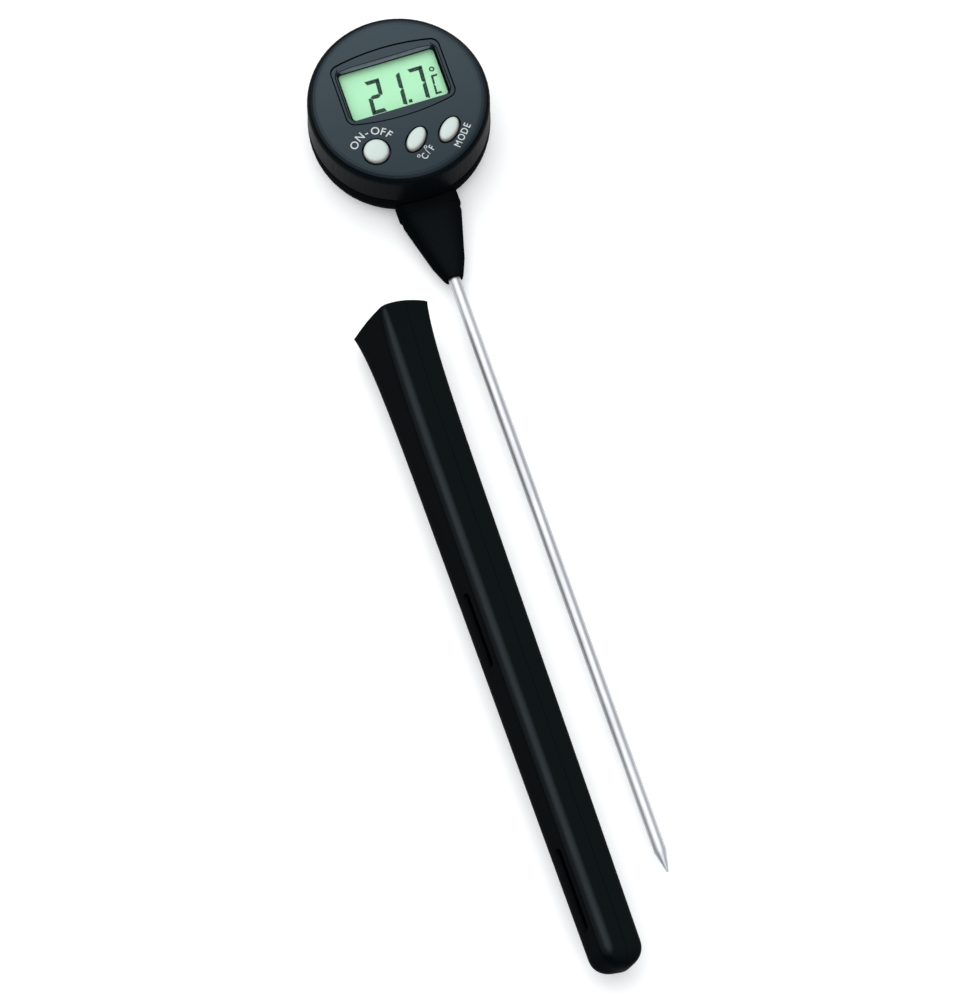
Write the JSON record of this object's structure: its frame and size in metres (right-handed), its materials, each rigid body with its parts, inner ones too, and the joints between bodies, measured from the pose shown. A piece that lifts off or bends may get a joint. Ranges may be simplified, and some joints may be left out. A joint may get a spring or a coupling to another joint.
{
  "type": "digital stem thermometer",
  "caption": "Round-headed digital stem thermometer with a liquid crystal display, push buttons, a pointed steel probe and a slotted pull-off probe sheath.",
  "frame": {"origin": "centre of the head's flat back, on the head's axis", "axes": "+Z out of the display face, +Y towards the top of the display; the probe runs along -Y and the sheath lies beside it on the -X side"},
  "size_m": [0.051, 0.2484, 0.0234],
  "materials": {
    "black_plastic": "fine-grained moulded ABS, satin",
    "slate_plastic": "smooth moulded ABS, satin",
    "ivory_plastic": "smooth, slightly translucent",
    "clear_plastic": "clear polished acrylic",
    "lcd_green": "liquid crystal cell, pale green",
    "reflector_foil": "satin foil",
    "black_rubber": "soft matt rubber",
    "board_green": "solder mask",
    "black_epoxy": "cast epoxy",
    "tan_ceramic": "fired ceramic",
    "stainless_steel": "ground along the stem, satin",
    "nickel": "nickel plated, bright",
    "potting_resin": "cast resin",
    "wire_black": "wire insulation",
    "wire_red": "wire insulation"
  },
  "bodies": {
    "thermometer": {"front_shell": "slate_plastic", "lcd_frame": "slate_plastic", "display_window": "clear_plastic", "lcd_glass": "lcd_green", "lcd_reflector": "reflector_foil", "zebra_strip_upper": "black_rubber", "zebra_strip_lower": "black_rubber", "circuit_board": "board_green", "controller_chip": "black_epoxy", "timing_crystal": "nickel", "chip_resistor_1": "black_epoxy", "chip_resistor_2": "black_epoxy", "chip_resistor_3": "black_epoxy", "chip_capacitor_1": "tan_ceramic", "chip_capacitor_2": "tan_ceramic", "key_dome_on_off": "nickel", "key_dome_unit": "nickel", "key_dome_mode": "nickel", "rear_shell": "black_plastic", "battery_seal": "black_rubber", "coin_cell": "nickel", "battery_contact_negative": "nickel", "battery_contact_positive": "nickel", "case_screw_1": "stainless_steel", "case_screw_2": "stainless_steel", "case_screw_3": "stainless_steel", "case_gasket": "black_rubber", "neck": "black_plastic", "potting_plug": "potting_resin", "probe_tube": "stainless_steel", "thermistor": "black_epoxy", "lead_wire_black": "wire_black", "lead_wire_red": "wire_red"},
    "button_on_off": {"button_on_off": "ivory_plastic"},
    "button_unit": {"button_unit": "ivory_plastic"},
    "button_mode": {"button_mode": "ivory_plastic"},
    "battery_cover": {"battery_cover": "black_plastic"},
    "sheath": {"sheath_front_shell": "black_plastic", "sheath_rear_shell": "black_plastic"}
  },
  "joints": [
    {"name": "press_on_off", "type": "slide", "parent": "thermometer", "child": "button_on_off", "axis": [0, 0, -1], "range_m": [0, 0.0006], "stiffness_N_per_m": 800, "springref_m": -0.0006},
    {"name": "press_unit", "type": "slide", "parent": "thermometer", "child": "button_unit", "axis": [0, 0, -1], "range_m": [0, 0.0006], "stiffness_N_per_m": 800, "springref_m": -0.0006},
    {"name": "press_mode", "type": "slide", "parent": "thermometer", "child": "button_mode", "axis": [0, 0, -1], "range_m": [0, 0.0006], "stiffness_N_per_m": 800, "springref_m": -0.0006},
    {"name": "turn_battery_cover", "type": "hinge", "parent": "thermometer", "child": "battery_cover", "pos_m": [0, 0.0078, 0], "axis": [0, 0, -1], "range_deg": [0, 60]},
    {"name": "pull_sheath", "type": "slide", "parent": "thermometer", "child": "sheath", "axis": [0, -1, 0], "range_m": [0, 0.16]}
  ]
}
